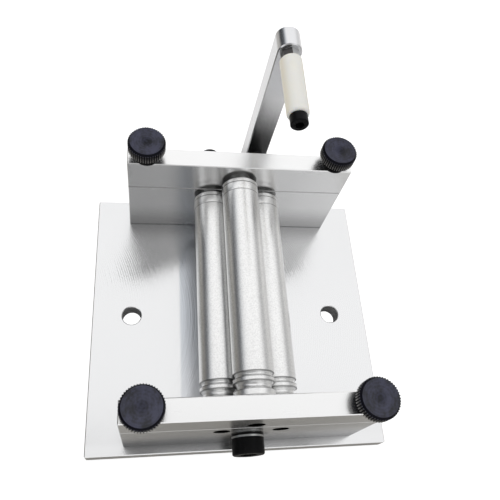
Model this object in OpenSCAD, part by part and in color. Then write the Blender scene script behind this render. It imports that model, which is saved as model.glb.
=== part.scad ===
// Benchtop slip roll: three grooved rollers between split end blocks on a base plate.
// Millimetres. X runs across the machine, Y along the rollers from front to rear, Z is up.
// The origin is the middle of the base plate's underside.

/* [Base plate] */
// Width of the base plate, left to right
base_w = 160; // [146:1:200]
// Depth of the base plate, front to rear
base_d = 150; // [130:1:200]
// Thickness of the base plate
base_t = 10; // [8:0.5:16]
// Diameter of the two bench holes
bench_hole_d = 10.5; // [6:0.5:12]
// Distance from each side edge to the centre of its bench hole
bench_hole_inset = 21.5; // [12:0.5:26]
// Bevel round the rims of the bench holes
hole_bevel = 0.4; // [0.2:0.1:1]

/* [End blocks] */
// Width of the end blocks
block_w = 122; // [112:1:140]
// Thickness of the end blocks
block_t = 10.5; // [9:0.5:14]
// Step from the plate's front and rear edges to the blocks
block_inset = 4.5; // [2:0.5:8]
// Height of the caps, above the split line
cap_h = 21.5; // [19:0.5:28]
// Metal from the lower axle centres up to the split line
axle_cover = 8; // [6:0.5:9]
// Bevel on the edges of the plate, the blocks and the caps
edge_bevel = 0.4; // [0.2:0.1:1]

/* [Rollers] */
// Diameter of the rollers
roller_d = 19.8; // [17:0.1:22]
// Space between the two lower rollers
roller_gap = 8.7; // [6:0.1:10]
// Space between the upper roller and each lower one with the caps down
nip_gap = 0.5; // [0.2:0.1:1.5]
// Height of the space under the lower rollers
floor_gap = 23.1; // [21:0.1:30]
// Diameter of the axle bores in the end blocks
axle_d = 8; // [6.5:0.5:9]
// Length of each axle end inside its end block
journal_len = 6; // [4:0.5:8]
// Diameter of the shoulders beside the end blocks
shoulder_d = 12; // [10:0.5:16]
// Distance from the front blocks to the rollers' front faces
front_shoulder = 1.4; // [0.8:0.1:3]
// Distance from the rear blocks to the rollers' rear faces
rear_shoulder = 2.2; // [0.8:0.1:4]
// Diameter of the small wire grooves
small_groove_d = 2.4; // [1:0.1:3]
// Diameter of the large wire groove
large_groove_d = 3.6; // [2:0.1:5]
// Width of the band at each end of a roller
end_land = 3; // [2:0.1:5]
// Width of the ridges between two grooves
ridge_w = 2; // [1:0.1:4]
// Width of the fine line turned near the rear end
score_w = 0.4; // [0.2:0.1:0.8]
// How far the left axle reaches out behind the rear block
left_tail_len = 15; // [12:0.5:24]

/* [Knobs] */
// Diameter of the knobs over their ribs
knob_d = 19.2; // [16:0.1:24]
// Height of a knob's head, without its hub
knob_h = 6.9; // [6:0.1:10]
// Diameter of the flat top of a knob
knob_top_d = 17; // [13:0.1:18]
// Number of ribs round a knob
knob_ribs = 48; // [24:1:60]
// Depth of the ribs
rib_depth = 0.6; // [0.3:0.05:1]
// Diameter of the hub under a knob
hub_d = 11; // [9:0.5:14]
// Height of the hub under a knob
hub_h = 1.1; // [0.5:0.1:4]
// Diameter of the knobs' studs
stud_d = 6; // [4:0.5:7]
// How deep a stud sits in the lower block with its knob screwed home
stud_reach = 14; // [8:0.5:18]
// Distance from the ends of a block to its knobs' centres
knob_inset = 10; // [9.5:0.5:16]
// How far the two rear knobs are screwed out
rear_lift = 3; // [0.5:0.5:6]
// Outer diameter of the washers under the knobs
knob_washer_d = 13; // [10:0.5:16]
// Thickness of the washers under the knobs
knob_washer_t = 1.6; // [1:0.1:2]

/* [Crank] */
// Gap between the left axle's screw and the turning crank arm
crank_gap = 0.4; // [0.4:0.1:8]
// Distance between the drive axle and the handle
crank_r = 81.5; // [80:0.5:120]
// Width of the crank arm
arm_w = 12.5; // [10.5:0.5:16]
// Thickness of the crank arm
arm_t = 12; // [8:0.5:14]
// How far the arm reaches below the drive axle, to the middle of its round foot
arm_foot = 14; // [0:0.5:20]
// Bevel along the crank arm's edges
arm_bevel = 0.5; // [0.2:0.1:1]
// How far the crank leans to the right of upright
crank_lean = 1.6; // [-5:0.1:5]
// Diameter of the handle sleeve beside its nut
handle_d = 11; // [9:0.1:16]
// How much slimmer the sleeve is at its free end
handle_taper = 0.3; // [0:0.1:1]
// Length of the handle sleeve
handle_len = 33.5; // [24:0.5:60]
// Rounding of the sleeve's free end
handle_round = 1.5; // [0.4:0.1:1.7]

/* [Screws] */
// Head diameter of the left axle's broad screw
tail_head_d = 10.5; // [9:0.5:12]
// Thread diameter of the handle, crank and left axle screws
small_screw_d = 5; // [4:0.5:5]
// Head diameter of the handle and crank screws
small_head_d = 8.5; // [7:0.5:9]
// Head height of the handle, crank and left axle screws
small_head_h = 5; // [4:0.5:6]
// Thread diameter of the tie screws
tie_screw_d = 10; // [6:0.5:10]
// Head diameter of the tie screws
tie_head_d = 16; // [13:0.5:18]
// Head height of the tie screws
tie_head_h = 7.8; // [6:0.1:12]
// Diameter of the tie rod
tie_rod_d = 15; // [13:0.5:16]
// Thickness of the tie screws' spring washers
spring_washer_t = 1.9; // [1:0.1:2.5]
// Thread diameter of the base screws
base_screw_d = 6; // [4:0.5:6]
// Length of the base screws
base_screw_len = 22; // [18:0.5:26]
// Distance from the ends of a block to its base screws
base_screw_inset = 21; // [18:0.5:30]

/* [Hidden] */
$fn = 64;
// Fits
running_gap = 0.05;
press_gap = 0.02;
hole_gap = 0.3;
side_gap = 0.3;
overrun = 1;
// Where the blocks stand
block_y = base_d / 2 - block_inset - block_t / 2;
inner_y = block_y - block_t / 2;
outer_y = block_y + block_t / 2;
span = 2 * inner_y;
// Heights above the underside of the plate
axle_h = floor_gap + roller_d / 2;
lower_z = base_t + axle_h;
split_z = lower_z + axle_cover;
top_z = split_z + cap_h;
lower_h = split_z - base_t;
tie_z = base_t + lower_h / 2;
// Roller centres
lower_x = (roller_d + roller_gap) / 2;
rise = sqrt(pow(roller_d + nip_gap, 2) - pow(lower_x, 2));
upper_z = lower_z + rise;
journal_r = axle_d / 2 - running_gap;
roller_bevel = 0.3;
// Cap screw shapes
socket_depth_share = 0.55;
small_key = 4;
tie_key = 8;
base_key = 4;
screw_bevel = 0.4;
head_bevel = 0.5;
thread_reach = 14;
// Crank stack, measured along Y from the drive axle's shoulder
tang_share = 0.9;
tang_len = 4;
left_end_y = outer_y + left_tail_len;
arm_y = left_end_y + small_head_h + crank_gap;
crank_washer_t = 1;
crank_washer_d = 10;
crank_screw_grip = 7;
crank_screw_len = arm_t + crank_washer_t + crank_screw_grip;
nut_w = 8;
nut_t = 4.7;
nut_chamfer_share = 0.95;
nut_end_round = 0.6;
handle_end_gap = 0.3;
sleeve_y = arm_y - nut_t - handle_end_gap - handle_len;
handle_head_y = sleeve_y - handle_end_gap;
// Knobs
knob_x = block_w / 2 - knob_inset;
band_h = 1.1;
band_out = 0.25;
under_bevel = 0.8;
dish = 0.35;
dish_rim = 0.6;
stud_grip = 5;
stud_spare = 3;
stud_bevel = 0.6;
rib_root_share = 0.35;
rib_flank_share = 0.15;
// Base and tie screws
base_screw_x = block_w / 2 - base_screw_inset;
countersink_d = 12;
countersink_sink = 0.3;
tie_thread = 16;
tie_bevel = 0.6;
washer_bevel = 0.2;
washer_slit = 1;
slit_tilt = 20;
drill_spare = 2;

// A rectangle about the origin with its corners cut
module bevel_rect(w, d, c) {
    polygon([[-w / 2 + c, -d / 2], [w / 2 - c, -d / 2], [w / 2, -d / 2 + c], [w / 2, d / 2 - c],
        [w / 2 - c, d / 2], [-w / 2 + c, d / 2], [-w / 2, d / 2 - c], [-w / 2, -d / 2 + c]]);
}

// A box standing on z = 0 with every edge bevelled
module bevel_box(w, d, h, c) {
    intersection() {
        linear_extrude(h) bevel_rect(w, d, c);
        translate([0, d / 2, h / 2]) rotate([90, 0, 0]) linear_extrude(d) bevel_rect(w, h, c);
        translate([-w / 2, 0, h / 2]) rotate([90, 0, 90]) linear_extrude(w) bevel_rect(d, h, c);
    }
}

// A round hole from front to rear through an end block at (x, z)
module bore(x, z, y, d) {
    translate([x, y - block_t / 2 - overrun, z])
        rotate([-90, 0, 0]) cylinder(h = block_t + 2 * overrun, d = d);
}

// A socket cap screw along Z, with its head on z = 0 and its thread below
module cap_screw(d, head_d, head_h, len, key) {
    difference() {
        rotate_extrude() polygon([[0, -len], [d / 2 - screw_bevel, -len],
            [d / 2, -len + screw_bevel], [d / 2, 0], [head_d / 2, 0],
            [head_d / 2, head_h - head_bevel], [head_d / 2 - head_bevel, head_h], [0, head_h]]);
        translate([0, 0, head_h * (1 - socket_depth_share)])
            cylinder(h = head_h, d = key / cos(30), $fn = 6);
    }
}

// A flat washer on z = 0
module flat_washer(d, hole, t) {
    rotate_extrude() polygon([[hole / 2, 0], [d / 2 - washer_bevel, 0], [d / 2, washer_bevel],
        [d / 2, t - washer_bevel], [d / 2 - washer_bevel, t], [hole / 2, t]]);
}

// A spring washer on z = 0: a ring with one slanting slit
module spring_washer(d, hole, t) {
    difference() {
        flat_washer(d, hole, t);
        translate([d / 2, 0, t / 2]) rotate([slit_tilt, 0, 0])
            cube([d, washer_slit, 2 * (t + overrun)], center = true);
    }
}

module base_plate() {
    color("lightgray") difference() {
        bevel_box(base_w, base_d, base_t, edge_bevel);
        for (side = [-1, 1]) translate([side * (base_w / 2 - bench_hole_inset), 0, 0]) {
            translate([0, 0, -overrun]) cylinder(h = base_t + 2 * overrun, d = bench_hole_d);
            translate([0, 0, base_t - hole_bevel])
                cylinder(h = hole_bevel, d1 = bench_hole_d, d2 = bench_hole_d + 2 * hole_bevel);
            cylinder(h = hole_bevel, d1 = bench_hole_d + 2 * hole_bevel, d2 = bench_hole_d);
        }
        for (x = [-base_screw_x, base_screw_x], y = [-block_y, block_y]) translate([x, y, 0]) {
            translate([0, 0, -overrun])
                cylinder(h = base_t + 2 * overrun, d = base_screw_d + 2 * hole_gap);
            cylinder(h = (countersink_d - base_screw_d) / 2 + countersink_sink,
                d1 = countersink_d + 2 * countersink_sink, d2 = base_screw_d);
        }
    }
}

// A lower block: two axle bores, the tie screw's hole and the tapped holes
module lower_block(y) {
    color("silver") difference() {
        translate([0, y, base_t]) bevel_box(block_w, block_t, lower_h, edge_bevel);
        for (x = [-lower_x, lower_x]) bore(x, lower_z, y, axle_d);
        bore(0, tie_z, y, tie_screw_d + 2 * hole_gap);
        for (x = [-knob_x, knob_x]) translate([x, y, split_z - stud_reach - stud_spare])
            cylinder(h = stud_reach + stud_spare + overrun, d = stud_d + 2 * running_gap);
        for (x = [-base_screw_x, base_screw_x]) translate([x, y, base_t - overrun])
            cylinder(h = base_screw_len + countersink_sink + drill_spare - base_t + overrun,
                d = base_screw_d + 2 * press_gap);
    }
}

module front_lower_block() {
    lower_block(-block_y);
}

module rear_lower_block() {
    lower_block(block_y);
}

// A cap: the upper axle's bore and two clear holes for the studs
module cap(y) {
    color("silver") difference() {
        translate([0, y, split_z]) bevel_box(block_w, block_t, cap_h, edge_bevel);
        bore(0, upper_z, y, axle_d);
        for (x = [-knob_x, knob_x]) translate([x, y, split_z - overrun])
            cylinder(h = cap_h + 2 * overrun, d = stud_d + 2 * hole_gap);
    }
}

module front_cap() {
    cap(-block_y);
}

module rear_cap() {
    cap(block_y);
}

// Half section of a roller, measured from the front block's inner face.
// The grooves follow one another from each end.
module roller_section(tail) {
    r = roller_d / 2;
    front = front_shoulder;
    rear = span - rear_shoulder;
    large_z = front + end_land + large_groove_d / 2;
    small_z = large_z + large_groove_d / 2 + ridge_w + small_groove_d / 2;
    score_z = rear - end_land + score_w;
    rear_z = score_z - ridge_w - small_groove_d / 2;
    difference() {
        polygon([[0, -journal_len], [journal_r - roller_bevel, -journal_len],
            [journal_r, -journal_len + roller_bevel], [journal_r, side_gap],
            [shoulder_d / 2, side_gap], [shoulder_d / 2, front],
            [r - roller_bevel, front], [r, front + roller_bevel],
            [r, rear - roller_bevel], [r - roller_bevel, rear],
            [shoulder_d / 2, rear], [shoulder_d / 2, span - side_gap],
            [journal_r, span - side_gap], [journal_r, span + tail - roller_bevel],
            [journal_r - roller_bevel, span + tail], [0, span + tail]]);
        translate([r, large_z]) circle(d = large_groove_d);
        translate([r, small_z]) circle(d = small_groove_d);
        translate([r, rear_z]) circle(d = small_groove_d);
        translate([r - score_w, score_z]) square([score_w + overrun, score_w]);
    }
}

// A roller in its place, with its rear axle end as long as tail
module roller(x, z, tail) {
    translate([x, -inner_y, z]) rotate([-90, 0, 0]) rotate_extrude() roller_section(tail);
}

// The tapped hole in the end of a tail, from the end at y forwards
module tail_thread(x, y) {
    translate([x, y + overrun, lower_z]) rotate([90, 0, 0])
        cylinder(h = thread_reach + overrun, d = small_screw_d + 2 * press_gap);
}

module upper_roller() {
    color("gainsboro") roller(0, upper_z, journal_len);
}

module left_roller() {
    color("gainsboro") difference() {
        roller(-lower_x, lower_z, block_t + left_tail_len);
        tail_thread(-lower_x, left_end_y);
    }
}

// The drive axle ends in two flats that turn the crank arm
module drive_roller() {
    color("gainsboro") difference() {
        roller(lower_x, lower_z, arm_y - inner_y + tang_len);
        tail_thread(lower_x, arm_y + tang_len);
        translate([lower_x, arm_y, lower_z]) rotate([0, crank_lean, 0]) for (side = [0, 1])
            mirror([side, 0, 0]) translate([axle_d * tang_share / 2, 0, -axle_d])
                cube([axle_d, tang_len + overrun, 2 * axle_d]);
    }
}

// Outline of the ribs round a knob
module rib_outline() {
    root = knob_d / 2 - rib_depth;
    step = 360 / knob_ribs;
    rise_a = step * rib_root_share;
    tip_a = step * (rib_root_share + rib_flank_share);
    fall_a = step * (1 - rib_flank_share);
    polygon([for (i = [0 : knob_ribs - 1], p = [[root, 0], [root, rise_a],
        [knob_d / 2, tip_a], [knob_d / 2, fall_a]])
        [p[0] * cos(i * step + p[1]), p[0] * sin(i * step + p[1])]]);
}

// A ribbed thumb knob standing on z = 0: hub, ribs, smooth band and dished top
module knob() {
    root = knob_d / 2 - rib_depth;
    band = min(root + band_out, knob_d / 2);
    ribs_h = knob_h - under_bevel - band_h;
    rim = knob_top_d / 2 - dish_rim;
    dish_r = (rim * rim + dish * dish) / (2 * dish);
    color("#23242a") difference() {
        union() {
            cylinder(h = hub_h + under_bevel, d = hub_d);
            rotate_extrude() polygon([[0, hub_h], [root - under_bevel, hub_h],
                [root, hub_h + under_bevel], [0, hub_h + under_bevel]]);
            translate([0, 0, hub_h + under_bevel]) linear_extrude(ribs_h) rib_outline();
            rotate_extrude() polygon([[0, hub_h + knob_h - band_h], [band, hub_h + knob_h - band_h],
                [knob_top_d / 2, hub_h + knob_h], [0, hub_h + knob_h]]);
        }
        translate([0, 0, hub_h + knob_h + dish_r - dish]) sphere(r = dish_r);
        translate([0, 0, -overrun])
            cylinder(h = stud_grip + overrun, d = stud_d + 2 * press_gap);
    }
}

// The stud of a knob that stands on z = 0
module stud() {
    reach = knob_washer_t + cap_h + stud_reach;
    color("dimgray") rotate_extrude() polygon([[0, -reach], [stud_d / 2 - stud_bevel, -reach],
        [stud_d / 2, -reach + stud_bevel], [stud_d / 2, stud_grip], [0, stud_grip]]);
}

// Puts a knob or stud on its washer, side -1 left or 1 right, row -1 front or 1 rear
module knob_place(side, row) {
    lift = row > 0 ? rear_lift : 0;
    translate([side * knob_x, row * block_y, top_z + knob_washer_t + lift]) children();
}

module front_left_knob() {
    knob_place(-1, -1) knob();
}

module front_right_knob() {
    knob_place(1, -1) knob();
}

module rear_left_knob() {
    knob_place(-1, 1) knob();
}

module rear_right_knob() {
    knob_place(1, 1) knob();
}

module front_left_stud() {
    knob_place(-1, -1) stud();
}

module front_right_stud() {
    knob_place(1, -1) stud();
}

module rear_left_stud() {
    knob_place(-1, 1) stud();
}

module rear_right_stud() {
    knob_place(1, 1) stud();
}

module knob_washers() {
    color("#2a2a2c") for (x = [-knob_x, knob_x], y = [-block_y, block_y])
        translate([x, y, top_z])
            flat_washer(knob_washer_d, stud_d + 2 * hole_gap, knob_washer_t);
}

// The rod that spaces the lower blocks, tapped at both ends
module tie_rod() {
    color("silver") translate([0, 0, tie_z]) rotate([90, 0, 0]) difference() {
        rotate_extrude() polygon([[0, -inner_y], [tie_rod_d / 2 - tie_bevel, -inner_y],
            [tie_rod_d / 2, -inner_y + tie_bevel], [tie_rod_d / 2, inner_y - tie_bevel],
            [tie_rod_d / 2 - tie_bevel, inner_y], [0, inner_y]]);
        for (side = [0, 1]) mirror([0, 0, side])
            translate([0, 0, inner_y - tie_thread - drill_spare])
                cylinder(h = tie_thread + drill_spare + overrun, d = tie_screw_d + 2 * press_gap);
    }
}

// A tie screw on its spring washer, on the front block
module tie_screw() {
    color("#1b1b1d") translate([0, -outer_y - spring_washer_t, tie_z]) rotate([90, 0, 0])
        cap_screw(tie_screw_d, tie_head_d, tie_head_h,
            spring_washer_t + block_t + tie_thread, tie_key);
}

module tie_washer() {
    color("gainsboro") translate([0, -outer_y, tie_z]) rotate([90, 0, 0])
        spring_washer(tie_head_d, tie_screw_d + 2 * hole_gap, spring_washer_t);
}

module front_tie_screw() {
    tie_screw();
}

module front_tie_washer() {
    tie_washer();
}

module rear_tie_screw() {
    mirror([0, 1, 0]) tie_screw();
}

module rear_tie_washer() {
    mirror([0, 1, 0]) tie_washer();
}

// Four countersunk screws from under the plate into the lower blocks
module base_screws() {
    head = (countersink_d - base_screw_d) / 2;
    color("#1b1b1d") for (x = [-base_screw_x, base_screw_x], y = [-block_y, block_y])
        translate([x, y, countersink_sink]) difference() {
            rotate_extrude() polygon([[0, 0], [countersink_d / 2, 0], [base_screw_d / 2, head],
                [base_screw_d / 2, base_screw_len - screw_bevel],
                [base_screw_d / 2 - screw_bevel, base_screw_len], [0, base_screw_len]]);
            translate([0, 0, -overrun])
                cylinder(h = head + overrun, d = base_key / cos(30), $fn = 6);
        }
}

// Turns its children with the crank about the drive axle; z runs up the arm,
// y to the rear from the arm's front face
module on_crank() {
    translate([lower_x, arm_y, lower_z]) rotate([0, crank_lean, 0]) children();
}

// A flat bar with round ends, a two-flat pocket at the axle and a tapped hole at the handle
module crank_arm() {
    w = arm_w / 2;
    color("lightgray") on_crank() difference() {
        union() {
            translate([0, arm_t / 2, -arm_foot]) linear_extrude(crank_r + arm_foot)
                bevel_rect(arm_w, arm_t, arm_bevel);
            for (z = [-arm_foot, crank_r]) translate([0, 0, z]) rotate([-90, 0, 0])
                rotate_extrude() polygon([[0, 0], [w - arm_bevel, 0], [w, arm_bevel],
                    [w, arm_t - arm_bevel], [w - arm_bevel, arm_t], [0, arm_t]]);
        }
        translate([0, -overrun, 0]) intersection() {
            rotate([-90, 0, 0]) cylinder(h = tang_len + side_gap + overrun, d = axle_d);
            translate([-axle_d * tang_share / 2 - press_gap, 0, -axle_d])
                cube([axle_d * tang_share + 2 * press_gap, tang_len + side_gap + overrun,
                    2 * axle_d]);
        }
        translate([0, -overrun, 0]) rotate([-90, 0, 0])
            cylinder(h = arm_t + 2 * overrun, d = small_screw_d + 2 * hole_gap);
        translate([0, -overrun, crank_r]) rotate([-90, 0, 0])
            cylinder(h = arm_t + 2 * overrun, d = small_screw_d + 2 * press_gap);
    }
}

module crank_washer() {
    color("gainsboro") on_crank() translate([0, arm_t, 0]) rotate([-90, 0, 0])
        flat_washer(crank_washer_d, small_screw_d + 2 * hole_gap, crank_washer_t);
}

module crank_screw() {
    color("#1b1b1d") on_crank() translate([0, arm_t + crank_washer_t, 0]) rotate([-90, 0, 0])
        cap_screw(small_screw_d, small_head_d, small_head_h, crank_screw_len, small_key);
}

// Turns its children with the handle; y is measured from the machine's middle
module on_handle(y) {
    on_crank() translate([0, y - arm_y, crank_r]) children();
}

// A turned plastic sleeve, a little slimmer and rounder at its free end
module handle_sleeve() {
    s = handle_d / 2;
    r = s - handle_taper / 2;
    q = handle_round;
    n = nut_end_round;
    hole = small_screw_d / 2 + running_gap;
    color("#e9e6dc") on_handle(sleeve_y) rotate([-90, 0, 0]) rotate_extrude() polygon(concat(
        [[hole, 0]],
        [for (a = [0 : 15 : 90]) [r - q + q * sin(a), q - q * cos(a)]],
        [for (a = [0 : 15 : 90]) [s - n + n * cos(a), handle_len - n + n * sin(a)]],
        [[hole, handle_len]]));
}

// The screw passes through the sleeve and the nut and is tapped into the arm
module handle_screw() {
    color("#1b1b1d") on_handle(handle_head_y) rotate([90, 0, 0])
        cap_screw(small_screw_d, small_head_d, small_head_h,
            arm_y + arm_t - handle_head_y, small_key);
}

module handle_nut() {
    across = nut_w / cos(30);
    edge = nut_w * nut_chamfer_share / 2;
    drop = (across / 2 - edge) * tan(30);
    color("gainsboro") on_handle(arm_y - nut_t) rotate([-90, 0, 0]) difference() {
        intersection() {
            rotate([0, 0, 30]) cylinder(h = nut_t, d = across, $fn = 6);
            rotate_extrude() polygon([[0, 0], [edge, 0], [across / 2, drop],
                [across / 2, nut_t - drop], [edge, nut_t], [0, nut_t]]);
        }
        translate([0, 0, -overrun])
            cylinder(h = nut_t + 2 * overrun, d = small_screw_d + 2 * press_gap);
    }
}

// The screw in the end of the left axle's tail
module left_axle_screw() {
    color("#1b1b1d") translate([-lower_x, left_end_y, lower_z]) rotate([-90, 0, 0])
        cap_screw(small_screw_d, tail_head_d, small_head_h, thread_reach - drill_spare,
            small_key);
}

base_plate();
front_lower_block();
rear_lower_block();
front_cap();
rear_cap();
upper_roller();
left_roller();
drive_roller();
front_left_knob();
front_right_knob();
rear_left_knob();
rear_right_knob();
front_left_stud();
front_right_stud();
rear_left_stud();
rear_right_stud();
knob_washers();
tie_rod();
front_tie_screw();
rear_tie_screw();
front_tie_washer();
rear_tie_washer();
base_screws();
crank_arm();
crank_screw();
crank_washer();
handle_sleeve();
handle_screw();
handle_nut();
left_axle_screw();
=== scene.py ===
import math

import bmesh
import bpy
from bpy.props import FloatProperty, FloatVectorProperty, IntProperty, PointerProperty
from bpy.types import Operator, Panel, PropertyGroup
from mathutils import Matrix, Vector


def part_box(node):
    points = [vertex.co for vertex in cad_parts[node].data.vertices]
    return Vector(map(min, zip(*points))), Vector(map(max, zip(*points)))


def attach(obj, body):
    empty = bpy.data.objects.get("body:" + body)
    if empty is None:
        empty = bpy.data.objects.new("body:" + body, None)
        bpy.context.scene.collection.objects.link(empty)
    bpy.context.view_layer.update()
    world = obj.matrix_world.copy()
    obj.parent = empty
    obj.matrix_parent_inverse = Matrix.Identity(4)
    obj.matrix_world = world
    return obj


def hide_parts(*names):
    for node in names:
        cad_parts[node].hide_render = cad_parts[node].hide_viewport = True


bl_info = {
    "name": "Bench Slip Roll",
    "version": (1, 0, 0),
    "blender": (4, 5, 0),
    "location": "View3D > Sidebar > Slip Roll",
    "description": "Finishes a bench slip roll and sets up its studio",
    "category": "Object",
}

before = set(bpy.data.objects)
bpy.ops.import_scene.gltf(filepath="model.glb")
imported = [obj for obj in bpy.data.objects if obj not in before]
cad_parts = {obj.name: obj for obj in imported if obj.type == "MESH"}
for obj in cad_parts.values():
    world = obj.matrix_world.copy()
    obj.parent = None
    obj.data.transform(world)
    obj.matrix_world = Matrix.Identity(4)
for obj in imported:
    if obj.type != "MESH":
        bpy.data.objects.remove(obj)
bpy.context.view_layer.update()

BLOCKS = ("front_lower_block", "rear_lower_block", "front_cap", "rear_cap")
ROLLERS = ("upper_roller", "left_roller", "drive_roller")
CORNERS = ("front_left", "front_right", "rear_left", "rear_right")
BLACK_PIECES = ("front_tie_screw", "rear_tie_screw", "base_screws", "crank_screw",
                "handle_screw", "left_axle_screw", "knob_washers")
PLATED_PIECES = ("front_tie_washer", "rear_tie_washer", "crank_washer")

# The photograph's camera, solved from the edges of the plate and the blocks
CAMERA_PLACE = Vector((-0.04825, -0.11093, 0.31049))
CAMERA_RIGHT = Vector((0.98399, -0.06940, 0.16416))
CAMERA_AHEAD = Vector((0.17777, 0.44807, -0.87614))
SENSOR_WIDTH = 36.0
FOCAL_LENGTH = 39.504

BLACK = (0.0, 0.0, 0.0)
WHITE = (1.0, 1.0, 1.0)
NEARLY_BLACK = (0.02, 0.02, 0.02)


class SlipRollSizes(PropertyGroup):
    """Sizes of the tool marks, the threads, the collars and the studio"""

    cutter_radius: FloatProperty(
        name="Cutter radius", description="Radius of the face mill's arcs on the plate",
        default=0.095, min=0.08, unit="LENGTH")
    cutter_feed: FloatProperty(
        name="Cutter feed", description="Distance between two arcs on the plate",
        default=0.0013, min=0.0004, unit="LENGTH")
    thread_pitch: FloatProperty(
        name="Thread pitch", description="Pitch of the studs' thread",
        default=0.001, min=0.0005, unit="LENGTH")
    thread_depth: FloatProperty(
        name="Thread depth", description="Depth of the studs' thread",
        default=0.00055, min=0.0001, unit="LENGTH")
    thread_steps: IntProperty(
        name="Thread steps", description="Faces in one turn of thread", default=24, min=12)
    collar_rise: FloatProperty(
        name="Collar rise", description="How far a roller's rear collar stands above its body",
        default=0.0002, min=0.0, max=0.00024, unit="LENGTH")
    collar_line: FloatProperty(
        name="Collar line", description="Depth of the fine line in front of the collar",
        default=0.00018, min=0.0, max=0.001, unit="LENGTH")
    axle_bore: FloatProperty(
        name="Axle bore", description="Radius of the axle bores in the blocks",
        default=0.004, min=0.002, unit="LENGTH")
    floor_reach: FloatProperty(
        name="Floor reach", description="Half the width of the floor",
        default=3.0, min=0.5, unit="LENGTH")


class SlipRollColours(PropertyGroup):
    """Colours of the finishes"""

    plate: FloatVectorProperty(
        name="Plate", description="Fly-cut aluminium of the base plate",
        default=(0.84, 0.843, 0.85), size=3, subtype="COLOR", min=0, max=1)
    blocks: FloatVectorProperty(
        name="End blocks", description="Milled aluminium of the blocks and caps",
        default=(0.925, 0.925, 0.925), size=3, subtype="COLOR", min=0, max=1)
    rollers: FloatVectorProperty(
        name="Rollers", description="Turned and blasted aluminium of the rollers",
        default=(0.90, 0.90, 0.895), size=3, subtype="COLOR", min=0, max=1)
    crank: FloatVectorProperty(
        name="Crank arm", description="Brushed aluminium of the crank arm",
        default=(0.80, 0.803, 0.82), size=3, subtype="COLOR", min=0, max=1)
    knobs: FloatVectorProperty(
        name="Knobs", description="Black plastic of the knobs",
        default=(0.011, 0.0115, 0.022), size=3, subtype="COLOR", min=0, max=1)
    screws: FloatVectorProperty(
        name="Screws", description="Black oxide of the screws",
        default=(0.002, 0.002, 0.0025), size=3, subtype="COLOR", min=0, max=1)
    plated: FloatVectorProperty(
        name="Plated steel", description="Zinc plating of the nut and washers",
        default=(0.70, 0.71, 0.71), size=3, subtype="COLOR", min=0, max=1)
    sleeve: FloatVectorProperty(
        name="Sleeve", description="Natural nylon of the handle sleeve",
        default=(0.85, 0.84, 0.79), size=3, subtype="COLOR", min=0, max=1)


class Signal:
    """A float socket that takes part in Python sums."""

    def __init__(self, graph, socket):
        self.graph = graph
        self.socket = socket

    def math(self, operation, *others):
        return self.graph.math(operation, self, *others)

    def root(self):
        return self.math("SQRT")

    def at_most(self, limit):
        return self.math("MINIMUM", limit)

    def wave(self):
        """A sine between 0 and 1."""
        return self.math("SINE") * 0.5 + 0.5

    def __abs__(self):
        return self.math("ABSOLUTE")

    def __add__(self, other):
        return self.math("ADD", other)

    __radd__ = __add__

    def __sub__(self, other):
        return self.math("SUBTRACT", other)

    def __rsub__(self, other):
        return self.graph.math("SUBTRACT", other, self)

    def __mul__(self, other):
        return self.math("MULTIPLY", other)

    __rmul__ = __mul__

    def __truediv__(self, other):
        return self.math("DIVIDE", other)

    def __pow__(self, other):
        return self.math("POWER", other)


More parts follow.
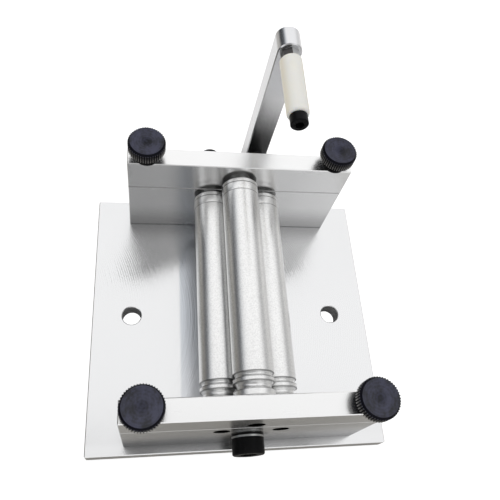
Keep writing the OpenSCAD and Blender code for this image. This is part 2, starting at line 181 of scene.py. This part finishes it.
class Graph:
    """A node tree that is built by calls."""

    def __init__(self, tree):
        self.tree = tree
        tree.nodes.clear()

    def node(self, kind, settings=None, inputs=None):
        made = self.tree.nodes.new(kind)
        for key, value in (settings or {}).items():
            setattr(made, key, value)
        for key, value in (inputs or {}).items():
            self.feed(made.inputs[key], value)
        return made

    def feed(self, socket, value):
        if isinstance(value, Signal):
            value = value.socket
        if isinstance(value, bpy.types.NodeSocket):
            self.tree.links.new(value, socket)
        elif socket.type == "RGBA":
            socket.default_value = (*value[:3], 1)
        else:
            socket.default_value = value

    def math(self, operation, *values):
        made = self.node("ShaderNodeMath", {"operation": operation}, dict(enumerate(values)))
        return Signal(self, made.outputs[0])

    def place(self):
        """Object coordinates, which are the machine's own."""
        return self.node("ShaderNodeTexCoord").outputs["Object"]

    def facing(self):
        """The way that the surface faces, along X, Y and Z."""
        return self.split(self.node("ShaderNodeTexCoord").outputs["Normal"])

    def split(self, vector):
        made = self.node("ShaderNodeSeparateXYZ", None, {"Vector": vector})
        return [Signal(self, out) for out in made.outputs]

    def stretched(self, vector, scale):
        return self.node("ShaderNodeMapping", None,
                         {"Vector": vector, "Scale": scale}).outputs[0]

    def noise(self, vector, scale, detail=2.0, rough=0.5):
        made = self.node("ShaderNodeTexNoise", {"noise_dimensions": "3D"},
                         {"Vector": vector, "Scale": scale, "Detail": detail,
                          "Roughness": rough})
        return Signal(self, made.outputs["Fac"])

    def noise_line(self, along, scale):
        """Noise that varies along one line only, as tool marks do."""
        made = self.node("ShaderNodeTexNoise", {"noise_dimensions": "1D"},
                         {"W": along, "Scale": scale, "Detail": 2.0})
        return Signal(self, made.outputs["Fac"])

    def spots(self, vector, scale):
        """Distance from the nearest of many scattered points."""
        made = self.node("ShaderNodeTexVoronoi", {"feature": "F1"},
                         {"Vector": vector, "Scale": scale})
        return Signal(self, made.outputs["Distance"])

    def step(self, value, low, high, start=0.0, end=1.0):
        """A soft step from start to end while value goes from low to high."""
        made = self.node("ShaderNodeMapRange", {"interpolation_type": "SMOOTHSTEP"},
                         {"Value": value, "From Min": low, "From Max": high,
                          "To Min": start, "To Max": end})
        return Signal(self, made.outputs["Result"])

    def blend(self, share, first, second):
        """A mix of two colours."""
        made = self.node("ShaderNodeMix", {"data_type": "RGBA"})
        self.feed(made.inputs[0], share)
        self.feed(made.inputs[6], first)
        self.feed(made.inputs[7], second)
        return made.outputs[2]

    def bump(self, height, depth):
        return self.node("ShaderNodeBump", None,
                         {"Height": height, "Strength": 1.0, "Distance": depth}).outputs[0]

    def surface(self, inputs):
        body = self.node("ShaderNodeBsdfPrincipled", None, inputs)
        out = self.node("ShaderNodeOutputMaterial")
        self.tree.links.new(body.outputs[0], out.inputs[0])

    def metal(self, tint, rough, height, depth):
        """A bare metal surface whose marks are depth metres deep."""
        self.surface({"Base Color": tint, "Metallic": 1.0, "Roughness": rough,
                      "Normal": self.bump(height, depth)})


def new_finish(name):
    finish = bpy.data.materials.new(name)
    finish.use_nodes = True
    return finish, Graph(finish.node_tree)


def shade(colour, factor):
    """A darker or lighter version of a colour."""
    return tuple(min(1.0, part * factor) for part in colour)


def distance(across, up):
    """Distance from an axis, from the offsets across it."""
    return (across * across + up * up).root()


def centre_of(name):
    low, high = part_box(name)
    return (low + high) / 2


def roller_cuts():
    """Where the rollers are cut, along Y: two front grooves, the rear one, the score line."""
    front_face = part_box("front_lower_block")[1].y
    rear_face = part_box("rear_lower_block")[0].y
    large_groove = (front_face + 0.0044, front_face + 0.0080)
    small_groove = (front_face + 0.0100, front_face + 0.0124)
    rear_groove = (rear_face - 0.0092, rear_face - 0.0068)
    score_line = (rear_face - 0.0048, rear_face - 0.0044)
    return large_groove, small_groove, rear_groove, score_line


def dress(finish, *nodes):
    """Gives CAD nodes their finish."""
    for name in nodes:
        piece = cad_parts[name]
        piece.data.materials.clear()
        piece.data.materials.append(finish)


def plate_finish(sizes, colour):
    """Aluminium cut by a face mill: crossing arcs, fine lines and faint handling marks."""
    finish, g = new_finish("fly_cut_plate")
    place = g.place()
    x, y = g.split(place)[:2]
    block_front, block_back = (corner.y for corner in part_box("front_lower_block"))

    # The leading and the trailing edge of the cutter leave arcs that cross
    bow = (sizes.cutter_radius ** 2 - y * y).root()
    leading = x - bow
    trailing = x + bow
    ridge = (leading * (2 * math.pi / sizes.cutter_feed)).wave() ** 1.5
    fine = g.noise_line(leading, 2600)
    crossing = g.noise_line(trailing, 1500)
    patch = g.step(g.noise(place, 22), 0.35, 0.65)
    streak = g.noise(g.stretched(place, (2200, 25, 200)), 1.0)
    cloud = g.noise(place, 35, 3.0)
    scratch = g.step(g.noise(g.stretched(place, (90, 1300, 90)), 1.0, 3.0, 0.6), 0.68, 0.74)

    # The arcs are nearly polished away before the front block
    relief = g.step(y, block_front - 0.0005, block_front + 0.0035, 0.1, 1.0)
    arcs = (ridge * 4.5 * (0.3 + patch * 0.7) + fine * 7.5) * relief
    height = arcs + crossing * 0.3 + streak * 0.2 - scratch * 0.4
    rough = 0.14 + cloud * 0.05 + streak * 0.04 + scratch * 0.06

    # Painted shade: a darker strip beside the left roller, where the roller's dark reflection
    # falls on the plate; its left edge blurs towards the rear block
    roller_shade_edge = -0.0312
    roller_shade_end = -0.019
    roller_shade_grey = (0.36, 0.40, 0.46)
    blur = g.step(y, 0.028, 0.055, 0.0009, 0.007)
    painted_roller_shade = (g.step((x - roller_shade_edge) / blur, -1.0, 1.0)
             * g.step(x, roller_shade_end - 0.005, roller_shade_end + 0.005, 1.0, 0.0)
             * g.step(y, block_back - 0.0005, block_back + 0.0005)
             * g.step(y, block_back, 0.0, 0.3, 0.58))
    tint = g.blend(cloud * 0.4 + fine * 0.3 + ridge * 0.3 * patch, shade(colour, 0.92), colour)
    tint = g.blend(painted_roller_shade, tint, roller_shade_grey)
    g.metal(tint, rough, height, depth=0.0000045)
    return finish


def block_finish(sizes, colour):
    """Milled aluminium with faint long lines, with painted shade at the plate, the split, round
    the tie screws and in the bores.
    """
    finish, g = new_finish("milled_blocks")
    place = g.place()
    x, y, z = g.split(place)
    lines = g.noise(g.stretched(place, (14, 1500, 2300)), 1.0, 3.0, 0.6)
    broad = g.noise(g.stretched(place, (9, 260, 330)), 1.0)
    chatter = g.noise(g.stretched(place, (900, 160, 160)), 1.0, 1.0)
    cloud = g.noise(place, 45, 3.0)
    scratch = g.step(g.noise(g.stretched(place, (120, 900, 1100)), 1.0, 3.0), 0.7, 0.76)
    height = lines + broad * 0.7 + chatter * 0.15 - scratch * 0.15
    rough = 0.19 + cloud * 0.08 + lines * 0.05 + scratch * 0.04
    # The dark grey of all painted shade on the blocks
    painted_shade_grey = shade(colour, 0.2)

    # Painted shade: darker lower edges, and a painted shadow line where the block stands on the
    # plate
    plate_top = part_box("base_plate")[1].z
    foot_height = 0.026
    painted_foot_shade = (g.step(y, -0.01, 0.01, 0.8, 0.55)
            * g.step(z, plate_top, plate_top + foot_height, 1.0, 0.0))
    painted_seam_shade = g.step(z, plate_top + 0.0004, plate_top + 0.0009, 0.35, 0.0)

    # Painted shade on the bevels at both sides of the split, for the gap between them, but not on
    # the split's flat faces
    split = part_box("front_cap")[0].z
    painted_split_shade = (g.step(abs(z - split), 0.0004, 0.0006, 1.0, 0.0)
              * g.step(abs(g.facing()[2]), 0.9, 0.96, 1.0, 0.0)
              * g.step(y, -0.01, 0.01, 0.35, 0.7))

    # A ring of painted shade round each tie screw's washer, on the outer faces, for the dark
    # screw head's reflection
    outer_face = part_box("rear_lower_block")[1].y
    washer = centre_of("front_tie_washer")
    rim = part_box("front_tie_washer")[1].x - washer.x
    painted_screw_shade = (g.step(distance(x, z - washer.z), rim, rim + 0.004, 0.6, 0.0)
            * g.step(abs(y), outer_face - 0.0015, outer_face))

    # Painted shade: the axle bores and a thin ring round them are painted nearly black
    bores = 0.0
    for part in ROLLERS:
        axis = centre_of(part)
        bores = bores + g.step(distance(x - axis.x, z - axis.z),
                               sizes.axle_bore + 0.00005, sizes.axle_bore + 0.00015, 1.0, 0.0)

    tint = g.blend(lines * 0.4 + cloud * 0.6, shade(colour, 0.9), colour)
    for mark in (painted_foot_shade + painted_seam_shade, painted_split_shade, painted_screw_shade):
        tint = g.blend(mark, tint, painted_shade_grey)
    tint = g.blend(bores, tint, NEARLY_BLACK)
    g.metal(tint, rough, height, depth=0.0000028)
    return finish


def roller_finish(colour):
    """Turned aluminium under a fine blasted grain, with a few pits and painted shade along the
    edges of its grooves.
    """
    finish, g = new_finish("turned_rollers")
    place = g.place()
    y = g.split(place)[1]
    turned = g.noise_line(y, 3800)
    grain = g.noise(place, 2600, 2.0, 0.6)
    coarse = g.noise(place, 1300, 2.0, 0.6)
    cloud = g.noise(place, 60, 3.0)
    pits = g.step(g.spots(place, 75), 0.025, 0.04, 1.0, 0.0)
    height = grain * 0.8 + coarse * 1.1 + turned * 0.1 - pits * 0.4
    rough = 0.24 + cloud * 0.06 + grain * 0.08

    sand = g.step(grain * 0.4 + coarse * 0.6, 0.38, 0.6)
    tint = g.blend(cloud * 0.2 + sand * 0.8, shade(colour, 0.86), shade(colour, 1.05))
    large_groove, small_groove, rear_groove, score_line = roller_cuts()
    edges = (large_groove[0] - 0.0001, large_groove[1] + 0.0001, small_groove[0] - 0.0001,
             small_groove[1], rear_groove[0] - 0.0001, score_line[0] + 0.0002)
    # Painted shade along the edges of the grooves
    dirt_and_crease_shade = sum(g.step(abs(y - edge), 0.0001, 0.0004, 1.0, 0.0) for edge in edges)
    tint = g.blend((dirt_and_crease_shade * 0.6).at_most(0.6), tint, shade(colour, 0.15))

    # Painted shade: the axles are painted dark inside the front block and behind the rear one,
    # and the roller is painted darker just before the rear block
    front_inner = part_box("front_lower_block")[1].y
    rear_inner, rear_outer = (corner.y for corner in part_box("rear_lower_block"))
    painted_axle_shade = (g.step(y, rear_outer + 0.0007, rear_outer + 0.0017)
            + g.step(y, front_inner - 0.0022, front_inner - 0.0012, 1.0, 0.0))
    painted_neck_shade = (g.step(y, rear_inner - 0.0024, rear_inner - 0.0023, 0.0, 0.48)
            * g.step(y, rear_inner + 0.0002, rear_inner + 0.0006, 1.0, 0.0))
    tint = g.blend(painted_axle_shade * 0.95 + painted_neck_shade, tint, NEARLY_BLACK)
    tint = g.blend(pits * 0.45, tint, shade(colour, 0.35))
    g.metal(tint, rough, height, depth=0.000030)
    return finish


def rod_finish(colour):
    """Plain turned bar."""
    finish, g = new_finish("turned_rod")
    place = g.place()
    y = g.split(place)[1]
    turned = g.noise_line(y, 2500)
    cloud = g.noise(place, 60, 3.0)
    tint = g.blend(turned * 0.5 + cloud * 0.3, shade(colour, 0.85), colour)
    rough = 0.24 + turned * 0.12
    g.metal(tint, rough, turned, depth=0.000008)
    return finish


def crank_finish(colour):
    """Flat bar brushed along its length, with painted shade at the lower end of its front face.
    """
    finish, g = new_finish("brushed_crank")
    place = g.place()
    z = g.split(place)[2]
    lines = g.noise(g.stretched(place, (1800, 1800, 16)), 1.0, 3.0, 0.6)
    cloud = g.noise(place, 50, 3.0)
    scratch = g.step(g.noise(g.stretched(place, (300, 900, 90)), 1.0), 0.7, 0.77)
    rough = 0.19 + cloud * 0.08 + lines * 0.04

    # Painted shade: the front face is painted dark towards its lower end, for the shadowed floor
    # that it reflects
    dark_below = 0.062
    bright_above = 0.1
    painted_foot_shade = (g.step(g.facing()[1], -0.9, -0.6, 1.0, 0.0)
            * g.step(z + lines * 0.012, dark_below, bright_above, 1.0, 0.0))
    tint = g.blend(lines * 0.4 + cloud * 0.6, shade(colour, 0.88), colour)
    tint = g.blend(painted_foot_shade * 0.85, tint, shade(colour, 0.08))
    height = lines - scratch * 0.3
    g.metal(tint, rough, height, depth=0.0000025)
    return finish


def knob_finish(colour):
    """Moulded black plastic: a satin top with faint rings, dull ribs painted darker than the top
    as shade, and painted glints on their lower tips.
    """
    finish, g = new_finish("moulded_knobs")
    place = g.place()
    x, y, z = g.split(place)
    front_low, front_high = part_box("front_left_knob")
    rear_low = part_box("rear_left_knob")[0]
    middle = (front_low + front_high) / 2
    radius = (front_high.x - front_low.x) / 2
    reach = distance(abs(x) - abs(middle.x), abs(y) - abs(middle.y))
    rear = g.step(y, -0.001, 0.001)

    # Height above the knob's own foot, which differs between the front and the rear
    rise = z - front_low.z - rear * (rear_low.z - front_low.z)
    top = g.step(g.facing()[2], 0.7, 0.95)
    grain = g.noise(place, 2600)
    cloud = g.noise(place, 170, 3.0)
    mottle = g.noise(place, 620, 3.0, 0.6)
    smear = g.noise(g.stretched(place, (300, 90, 300)), 1.0, 3.0, 0.6)

    # Rings and a darker middle on the top, and painted glints on the lower tips of the ribs
    rings = (reach * 4600).wave()
    dip = g.step(reach, 0.001, 0.0042, 0.3, 0.0)
    painted_rib_glint = (g.step(reach, radius - 0.00032, radius - 0.00008)
            * g.step(rise, 0.0035, 0.0062, 1.0, 0.25) * g.step(mottle, 0.3, 0.5, 0.4, 1.0))

    mark = cloud * 0.35 + mottle * 0.3 + smear * 0.35 + rings * 0.04
    tint = g.blend(g.step(mark, 0.38, 0.64) - dip, shade(colour, 0.5), shade(colour, 3.0))
    # Painted shade: the sides are painted darker than the top
    tint = g.blend(top, shade(colour, 0.35), tint)
    glint_grey = (0.2, 0.19, 0.18)
    tint = g.blend(painted_rib_glint * 0.65, tint, glint_grey)
    rough = 0.36 + cloud * 0.14 + mottle * 0.1
    shine = top * (0.55 + mark * 0.5 - dip - rear * 0.25) + painted_rib_glint
    height = grain * 0.8 + mottle * 1.2 + rings * 0.05
    g.surface({"Base Color": tint, "Roughness": rough, "Specular IOR Level": 0.08,
               "Coat Weight": shine.at_most(1.0), "Coat Roughness": 0.36,
               "Normal": g.bump(height, depth=0.000012)})
    return finish


def screw_finish(colour):
    """Black oxide on steel, rubbed a little brighter in patches."""
    finish, g = new_finish("black_oxide")
    place = g.place()
    grain = g.noise(place, 3000)
    cloud = g.noise(place, 300, 3.0)
    rub = g.step(g.noise(place, 700, 3.0, 0.7), 0.6, 0.75)
    rubbed = (0.05, 0.05, 0.052)
    tint = g.blend(rub * 0.3 + cloud * 0.1, colour, rubbed)
    g.surface({"Base Color": tint, "Metallic": 0.0, "Specular IOR Level": 0.09,
               "Roughness": 0.3 + cloud * 0.16,
               "Normal": g.bump(grain, depth=0.000010)})
    return finish


def plated_finish(name, colour, dark):
    """Zinc plating with a faint grain. Sides that face left get painted shade, by the share dark.
    """
    finish, g = new_finish(name)
    place = g.place()
    y = g.split(place)[1]
    grain = g.noise(place, 2400)
    cloud = g.noise(place, 260, 3.0)
    tint = g.blend(cloud * 0.6 + grain * 0.2, shade(colour, 0.72), colour)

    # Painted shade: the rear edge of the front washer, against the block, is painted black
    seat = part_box("front_tie_washer")[1].y
    back = g.step(y, seat - 0.0011, seat - 0.0008) * g.step(y, 0.0, 0.001, 1.0, 0.0)
    tint = g.blend(back, tint, NEARLY_BLACK)
    # Painted shade on the sides that face left
    painted_left_shade = g.step(g.facing()[0], -0.45, -0.3, dark, 0.0)
    painted_left_grey = (0.05, 0.045, 0.045)
    tint = g.blend(painted_left_shade, tint, painted_left_grey)
    rough = 0.24 + cloud * 0.16
    height = grain * 0.6 + cloud * 0.4
    g.metal(tint, rough, height, depth=0.000012)
    return finish


def sleeve_finish(colour):
    """Natural nylon, turned, with light passing a little way in and a painted warm glow on its
    sides.
    """
    finish, g = new_finish("natural_nylon")
    place = g.place()
    y = g.split(place)[1]
    turned = g.noise_line(y, 2400)
    cloud = g.noise(place, 70, 3.0)
    dirt_and_crease_shade = g.step(g.noise(place, 180, 4.0, 0.65), 0.56, 0.8)
    # Painted light: the sides are painted warmer, as a glow at the edges
    sideways = g.facing()[0]
    side = g.step(sideways * sideways, 0.3, 1.0, 0.0, 0.7)
    painted_glow_nylon = (0.76, 0.69, 0.54)
    tint = g.blend(cloud * 0.3 + dirt_and_crease_shade * 0.3, colour, shade(colour, 0.9))
    tint = g.blend(side, tint, painted_glow_nylon)
    g.surface({"Base Color": tint, "Roughness": 0.33 + turned * 0.1 + dirt_and_crease_shade * 0.1,
               "Subsurface Weight": 0.35, "Subsurface Scale": 0.004,
               "Subsurface Radius": (1.0, 0.85, 0.6),
               "Normal": g.bump(turned * 0.6 + cloud * 0.4, depth=0.000010)})
    return finish


def stud_finish():
    """Bright threaded steel."""
    finish, g = new_finish("threaded_steel")
    place = g.place()
    cloud = g.noise(place, 500, 3.0)
    grain = g.noise(place, 2500)
    dark_steel = (0.34, 0.34, 0.35)
    bright_steel = (0.55, 0.55, 0.56)
    tint = g.blend(cloud, dark_steel, bright_steel)
    rough = 0.28 + cloud * 0.14
    g.metal(tint, rough, grain, depth=0.000008)
    return finish


def finish_object(mesh_name, shape, finish):
    """Turns a bmesh into an object at the origin."""
    mesh = bpy.data.meshes.new(mesh_name)
    shape.to_mesh(mesh)
    shape.free()
    mesh.materials.append(finish)
    piece = bpy.data.objects.new(mesh_name, mesh)
    bpy.context.scene.collection.objects.link(piece)
    return piece


def smooth_object(mesh_name, shape, finish):
    """Turns a bmesh into an object that is smooth but for its real edges."""
    for face in shape.faces:
        face.smooth = True
    piece = finish_object(mesh_name, shape, finish)
    piece.data.set_sharp_from_angle(angle=math.radians(35))
    return piece


def threaded_stud(name, sizes, finish):
    """A stud with a true helical thread, in the place of its plain CAD node."""
    low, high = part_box(name)
    centre = (low + high) / 2
    crest = (high.x - low.x) / 2
    root = crest - sizes.thread_depth
    pitch = sizes.thread_pitch
    steps = sizes.thread_steps
    turns = math.ceil((high.z - low.z) / pitch) + 2
    start = low.z - pitch

    # One turn's outline, from root to root with a narrow crest, swept up the helix
    shape = bmesh.new()
    outline = ((root, 0.0), (crest, pitch * 0.44), (crest, pitch * 0.56), (root, pitch))
    corners = [shape.verts.new((centre.x + radius, centre.y, start + rise))
               for radius, rise in outline]
    edges = [shape.edges.new(pair) for pair in zip(corners, corners[1:])]
    bmesh.ops.spin(shape, geom=corners + edges, cent=(centre.x, centre.y, 0), axis=(0, 0, 1),
                   dvec=(0, 0, pitch / steps), angle=2 * math.pi * turns, steps=steps * turns,
                   use_merge=False, use_duplicate=False)
    bmesh.ops.remove_doubles(shape, verts=shape.verts, dist=pitch * 0.01)

    # Cut flat at both ends and closed there
    for level, side in ((low.z, -1), (high.z, 1)):
        cut = bmesh.ops.bisect_plane(
            shape, geom=shape.verts[:] + shape.edges[:] + shape.faces[:], dist=pitch * 0.0001,
            plane_co=(0, 0, level), plane_no=(0, 0, side), clear_outer=True, clear_inner=False)
        rim = [item for item in cut["geom_cut"] if isinstance(item, bmesh.types.BMEdge)]
        bmesh.ops.triangle_fill(shape, edges=rim, use_beauty=True)
    bmesh.ops.recalc_face_normals(shape, faces=shape.faces[:])
    piece = smooth_object("threaded_" + name, shape, finish)
    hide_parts(name)
    return piece


def collar_profile(sizes):
    """Y and height above the body: a fine line, a shallow rise to the collar, and a fall."""
    slack = 0.00001
    (start, end), (score_start, score_end) = roller_cuts()[2:]
    return ((start - slack, 0.0), (start + 0.00007, -sizes.collar_line),
            (start + 0.00022, 0.0), (start + 0.0012, sizes.collar_rise * 0.6),
            (end, sizes.collar_rise), (score_start + slack, sizes.collar_rise * 0.4))


def rise_at(profile, y):
    """Height above the roller's body at y, along straight pieces of a profile."""
    for (start, first), (end, last) in zip(profile, profile[1:]):
        if start <= y <= end:
            return first + (last - first) * (y - start) / (end - start)
    return 0.0


def collared_roller(name, sizes, finish):
    """A roller whose rear wire groove is opened into a collar a little wider than its body."""
    low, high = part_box(name)
    axis = (low + high) / 2
    body = (high.x - low.x) / 2
    groove_depth = 0.0012
    groove_end = roller_cuts()[2][1]
    profile = collar_profile(sizes)
    first_y, last_y = profile[0][0], profile[-1][0]
    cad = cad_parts[name].data
    shape = bmesh.new()
    spots = [shape.verts.new(vert.co) for vert in cad.vertices]
    for face in cad.polygons:
        shape.faces.new([spots[index] for index in face.vertices])
    bmesh.ops.remove_doubles(shape, verts=shape.verts, dist=0.000001)

    # The groove's rings move out to the profile. Past the groove only the surface does.
    for vert in shape.verts:
        across, up = vert.co.x - axis.x, vert.co.z - axis.z
        reach = math.hypot(across, up)
        in_groove = vert.co.y < groove_end + 0.0001
        deepest = body - (groove_depth + 0.0003 if in_groove else 0.0001)
        if first_y <= vert.co.y <= last_y and reach > deepest:
            share = (body + rise_at(profile, vert.co.y)) / reach
            vert.co.x = axis.x + across * share
            vert.co.z = axis.z + up * share
    piece = smooth_object("collared_" + name, shape, finish)
    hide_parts(name)
    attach(piece, name)
    return piece


class SLIPROLL_OT_plate(Operator):
    """Finish the base plate with the arcs of a face mill"""

    bl_idname = "slip_roll.plate"
    bl_label = "Base Plate"

    def execute(self, context):
        dress(plate_finish(context.scene.slip_roll_sizes, context.scene.slip_roll_colours.plate),
              "base_plate")
        return {"FINISHED"}


class SLIPROLL_OT_blocks(Operator):
    """Finish the lower blocks and the caps"""

    bl_idname = "slip_roll.blocks"
    bl_label = "End Blocks"

    def execute(self, context):
        dress(block_finish(context.scene.slip_roll_sizes, context.scene.slip_roll_colours.blocks),
              *BLOCKS)
        return {"FINISHED"}


class SLIPROLL_OT_rollers(Operator):
    """Open the rollers' rear collars, and finish the rollers and the tie rod"""

    bl_idname = "slip_roll.rollers"
    bl_label = "Rollers"

    def execute(self, context):
        colour = context.scene.slip_roll_colours.rollers
        finish = roller_finish(colour)
        for name in ROLLERS:
            collared_roller(name, context.scene.slip_roll_sizes, finish)
        dress(rod_finish(colour), "tie_rod")
        return {"FINISHED"}


class SLIPROLL_OT_knobs(Operator):
    """Finish the knobs and cut the threads of their studs"""

    bl_idname = "slip_roll.knobs"
    bl_label = "Knobs and Studs"

    def execute(self, context):
        dress(knob_finish(context.scene.slip_roll_colours.knobs),
              *(corner + "_knob" for corner in CORNERS))
        steel = stud_finish()
        for corner in CORNERS:
            stud = threaded_stud(corner + "_stud", context.scene.slip_roll_sizes, steel)
            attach(stud, corner + "_knob")
        return {"FINISHED"}


class SLIPROLL_OT_screws(Operator):
    """Finish the screws, the nut and the washers"""

    bl_idname = "slip_roll.screws"
    bl_label = "Screws and Washers"

    def execute(self, context):
        colours = context.scene.slip_roll_colours
        dress(screw_finish(colours.screws), *BLACK_PIECES)
        dress(plated_finish("zinc_plate", colours.plated, 0.0), *PLATED_PIECES)
        dress(plated_finish("zinc_nut", colours.plated, 0.9), "handle_nut")
        return {"FINISHED"}


class SLIPROLL_OT_crank(Operator):
    """Finish the crank arm and its handle sleeve"""

    bl_idname = "slip_roll.crank"
    bl_label = "Crank"

    def execute(self, context):
        colours = context.scene.slip_roll_colours
        dress(crank_finish(colours.crank), "crank_arm")
        dress(sleeve_finish(colours.sleeve), "handle_sleeve")
        return {"FINISHED"}


def studio_sky(world):
    """White to the camera. The metal sees a soft room with a dimmer front and dark flags."""
    world.use_nodes = True
    g = Graph(world.node_tree)
    direction = g.node("ShaderNodeTexCoord").outputs["Generated"]
    x, y, z = g.split(direction)

    # In front of the machine the room is dim at the left, bright at the right and low down
    behind = g.step(y, -0.07, 0.09)
    overhead = g.step(y, -0.3, -0.18)
    bright = 0.55 + overhead * 0.3
    front = (0.33 - overhead * 0.08
             + g.step(x - (y + 0.5) * 0.3 + overhead * 0.05, 0.08, 0.34) * bright)
    front = front * g.step(y, -0.42, -0.2, 1.0, 0.68)
    low = g.step(z, 0.3, 0.55, 1.0, 0.0)
    front = front + (1 - front) * low
    room = behind + (1 - behind) * front

    # A dark flag at the upper left, and a grey one at the upper right
    far = (y - 0.45) * 0.35
    left = g.step(x - far, -0.66, -0.37, 1.0, 0.0) * g.step(z - far, 0.38, 0.72, 1.0, 0.0)
    right = g.step(x, 0.5, 0.88) * g.step(z, 0.3, 0.75, 1.0, 0.0)
    glossy_level = room * (1 - left * 0.95) * (1 - right * 0.58) * 1.08
    soft_level = 0.7

    path = g.node("ShaderNodeLightPath")
    camera = Signal(g, path.outputs["Is Camera Ray"])
    glossy = Signal(g, path.outputs["Is Glossy Ray"])
    seen = glossy * glossy_level + (1 - glossy) * soft_level
    strength = camera + (1 - camera) * seen
    cool_white = (0.8, 0.88, 1.0)
    colour = g.blend(glossy * left, WHITE, cool_white)
    back = g.node("ShaderNodeBackground", None, {"Color": colour, "Strength": strength})
    out = g.node("ShaderNodeOutputWorld")
    g.tree.links.new(back.outputs[0], out.inputs[0])


def floor_finish():
    """A pale floor that is white to the camera and keeps the shadow; in reflections it is dull
    with painted shade in places and has a painted glow further behind.
    """
    finish, g = new_finish("studio_floor")
    path = g.node("ShaderNodeLightPath")
    camera = Signal(g, path.outputs["Is Camera Ray"])
    mirrored = Signal(g, path.outputs["Is Glossy Ray"])
    x, y = g.split(g.place())[:2]
    low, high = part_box("base_plate")

    # Shares of painted shade in reflections: under the plate, behind it below the crank, before
    # it and at its left
    under = (g.step(abs(x), high.x - 0.004, high.x - 0.002, 1.0, 0.0)
             * g.step(abs(y), high.y - 0.004, high.y - 0.002, 1.0, 0.0))
    below_crank = (g.step(y, high.y - 0.003, high.y + 0.005)
                   * g.step(y, high.y + 0.03, high.y + 0.053, 1.0, 0.0)
                   * g.step(x, -0.035, -0.01) * g.step(x, 0.02, 0.045, 1.0, 0.0))
    near = g.step(y, low.y - 0.005, low.y + 0.025, 0.54, 0.12)
    side = g.step(x, low.x - 0.04, low.x - 0.008, 0.6, 0.0)

    # Further behind, the reflected floor gets a painted glow
    behind = g.step(y, high.y + 0.043, high.y + 0.065)
    dull = near * (1 - behind) + below_crank * 0.95 + under * 0.6 + side

    pale = (0.86, 0.86, 0.86)
    warm = (0.90, 0.84, 0.73)
    dark = (0.03, 0.03, 0.03)
    # Painted shade in reflections, warm before and left of the plate and dark where shade falls
    tint = g.blend(mirrored * (near + side), pale, warm)
    tint = g.blend(mirrored * dull.at_most(0.98), tint, dark)
    # Painted light: to the camera the floor glows fully white under the plate, hiding the plate's
    # shadow
    glow = g.blend(camera * (0.55 + under * 0.45) + mirrored * behind * 0.2, BLACK, WHITE)
    g.surface({"Base Color": tint, "Roughness": 0.9, "Specular IOR Level": 0.0,
               "Emission Color": glow, "Emission Strength": 1.0})
    return finish


def studio_floor(reach):
    """A wide square just under the machine."""
    drop = 0.0001
    shape = bmesh.new()
    bmesh.ops.create_grid(shape, x_segments=1, y_segments=1, size=reach,
                          matrix=Matrix.Translation((0, 0, -drop)))
    return finish_object("studio_floor", shape, floor_finish())


def area_light(name, place, size, power):
    """A round soft lamp that points at the machine and isn't seen in its metal."""
    machine = Vector((0, 0, 0.03))
    light = bpy.data.lights.new(name, "AREA")
    light.shape = "DISK"
    light.size = size
    light.energy = power
    lamp = bpy.data.objects.new(name, light)
    lamp.location = place
    lamp.visible_glossy = False
    lamp.rotation_euler = (machine - Vector(place)).to_track_quat("-Z", "Y").to_euler()
    bpy.context.scene.collection.objects.link(lamp)


def photo_camera():
    """The camera of the photograph."""
    lens = bpy.data.cameras.new("photo_view")
    lens.sensor_width = SENSOR_WIDTH
    lens.lens = FOCAL_LENGTH
    lens.clip_start = 0.01
    lens.clip_end = 20.0
    camera = bpy.data.objects.new("photo_view", lens)
    right = CAMERA_RIGHT.normalized()
    ahead = CAMERA_AHEAD.normalized()
    up = right.cross(ahead).normalized()
    turned = Matrix((right, up, -ahead)).transposed()
    camera.matrix_world = Matrix.Translation(CAMERA_PLACE) @ turned.to_4x4()
    bpy.context.scene.collection.objects.link(camera)
    return camera


class SLIPROLL_OT_stage(Operator):
    """Set up the floor, the lights and the camera"""

    bl_idname = "slip_roll.stage"
    bl_label = "Studio"

    def execute(self, context):
        scene = context.scene
        studio_floor(scene.slip_roll_sizes.floor_reach)
        scene.world = bpy.data.worlds.new("studio")
        studio_sky(scene.world)
        area_light("key_lamp", (-0.35, 0.45, 1.0), size=0.9, power=2.2)
        area_light("fill_lamp", (0.7, -0.3, 0.8), size=0.8, power=0.9)
        scene.camera = photo_camera()
        scene.view_settings.view_transform = "Standard"
        return {"FINISHED"}


class SLIPROLL_PT_panel(Panel):
    """Lists the machine's finishes and the studio"""

    bl_idname = "SLIPROLL_PT_panel"
    bl_label = "Slip Roll"
    bl_space_type = "VIEW_3D"
    bl_region_type = "UI"
    bl_category = "Slip Roll"

    def draw(self, context):
        for kind in STEPS:
            self.layout.operator(kind.bl_idname)
        for group in (context.scene.slip_roll_sizes, context.scene.slip_roll_colours):
            for key in group.bl_rna.properties.keys():
                if key not in ("rna_type", "name"):
                    self.layout.prop(group, key)


STEPS = (SLIPROLL_OT_stage, SLIPROLL_OT_plate, SLIPROLL_OT_blocks, SLIPROLL_OT_rollers,
         SLIPROLL_OT_knobs, SLIPROLL_OT_screws, SLIPROLL_OT_crank)
CLASSES = (SlipRollSizes, SlipRollColours, *STEPS, SLIPROLL_PT_panel)


def register():
    for kind in CLASSES:
        bpy.utils.register_class(kind)
    bpy.types.Scene.slip_roll_sizes = PointerProperty(type=SlipRollSizes)
    bpy.types.Scene.slip_roll_colours = PointerProperty(type=SlipRollColours)


def unregister():
    del bpy.types.Scene.slip_roll_colours
    del bpy.types.Scene.slip_roll_sizes
    for kind in reversed(CLASSES):
        bpy.utils.unregister_class(kind)


def main():
    register()
    bpy.ops.slip_roll.stage()
    bpy.ops.slip_roll.plate()
    bpy.ops.slip_roll.blocks()
    bpy.ops.slip_roll.rollers()
    bpy.ops.slip_roll.knobs()
    bpy.ops.slip_roll.screws()
    bpy.ops.slip_roll.crank()


if __name__ == "__main__":
    main()
